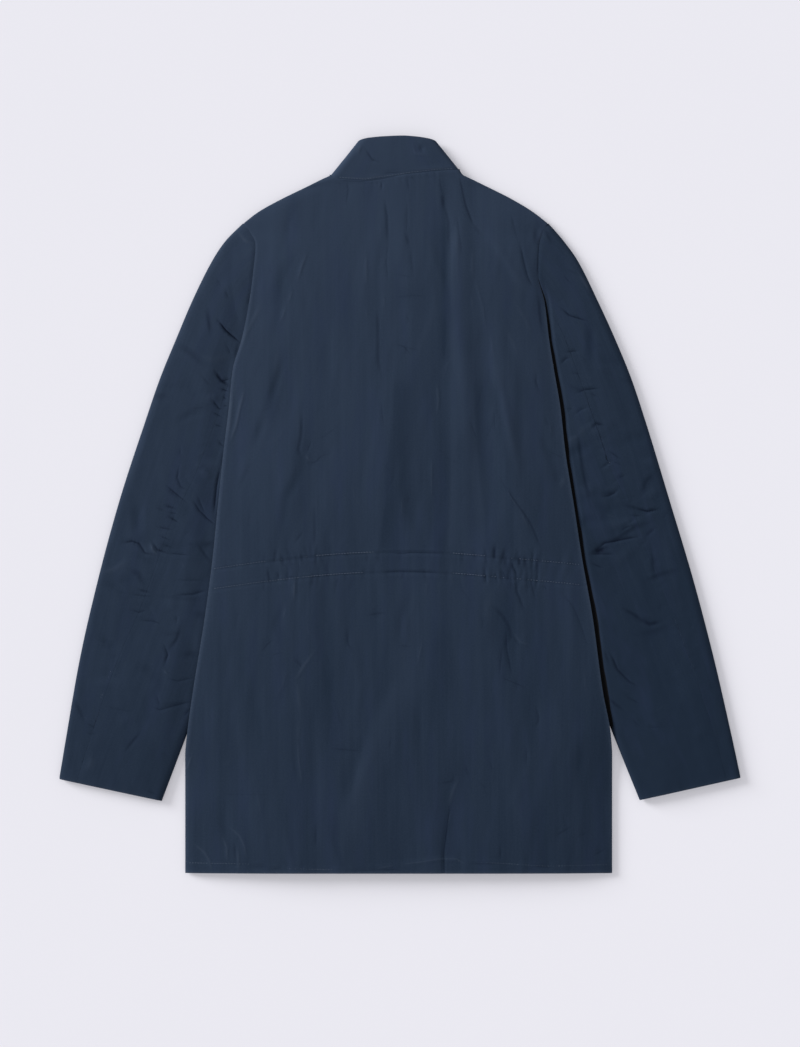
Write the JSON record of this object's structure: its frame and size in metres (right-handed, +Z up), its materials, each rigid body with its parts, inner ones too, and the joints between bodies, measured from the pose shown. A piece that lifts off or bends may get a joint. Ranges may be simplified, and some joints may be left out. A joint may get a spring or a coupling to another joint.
{
  "type": "safari jacket",
  "caption": "Plain stand-collar safari jacket laid flat on its front, back upwards, with two-piece sleeves and a drawcord tunnel at the waist.",
  "frame": {"origin": "centre of the jacket's outline, on the surface it lies on", "axes": "+X to the wearer's right, +Y from hem to collar, +Z up from the surface, so that the back faces up"},
  "size_m": [0.7832, 0.848, 0.0152],
  "materials": {
    "shell_cloth": "fine dark navy twill, matt with a faint sheen",
    "button": "dark polyester, satin"
  },
  "bodies": {
    "root": {"back": "shell_cloth", "waist_casing": "shell_cloth", "collar": "shell_cloth", "front_left": "shell_cloth", "front_right": "shell_cloth", "upper_sleeve_left": "shell_cloth", "under_sleeve_left": "shell_cloth", "upper_sleeve_right": "shell_cloth", "under_sleeve_right": "shell_cloth", "button_1": "button", "button_2": "button", "button_3": "button", "button_4": "button", "button_5": "button", "button_6": "button"}
  },
  "joints": []
}
